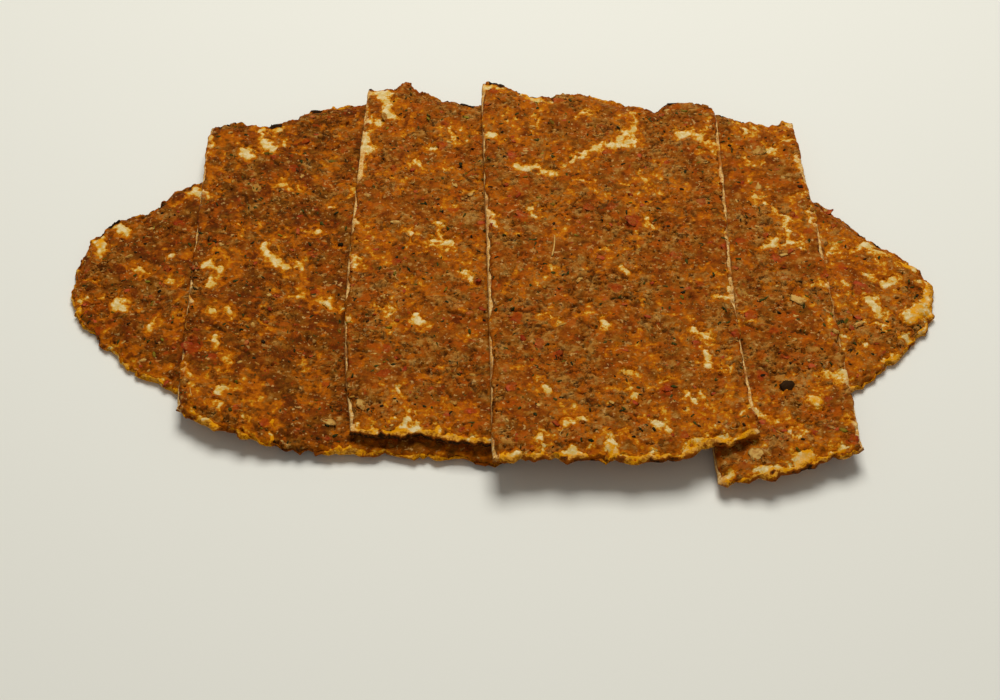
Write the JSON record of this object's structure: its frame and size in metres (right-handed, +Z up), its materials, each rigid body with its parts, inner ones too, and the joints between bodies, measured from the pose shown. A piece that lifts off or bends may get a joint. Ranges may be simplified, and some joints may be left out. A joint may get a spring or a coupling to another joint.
{
  "type": "minced meat pide",
  "caption": "Thin oval flatbread baked with a minced meat topping, cut across and laid in overlapping slices with rounded ends.",
  "frame": {"origin": "on the surface it lies on, under the middle of the bounding box", "axes": "+X along the pide from its left end to its right end, +Y across it to the back, +Z up"},
  "size_m": [0.3675, 0.2283, 0.0184],
  "materials": {
    "dough": "baked flatbread dough, cream to golden brown, matte",
    "topping": "baked minced meat with tomato, pepper and parsley, slightly oily"
  },
  "bodies": {
    "root": {"slice_1_dough": "dough", "slice_1_topping": "topping", "slice_2_dough": "dough", "slice_2_topping": "topping", "slice_3_dough": "dough", "slice_3_topping": "topping", "slice_4_dough": "dough", "slice_4_topping": "topping", "slice_5_dough": "dough", "slice_5_topping": "topping", "slice_6_dough": "dough", "slice_6_topping": "topping"}
  },
  "joints": []
}
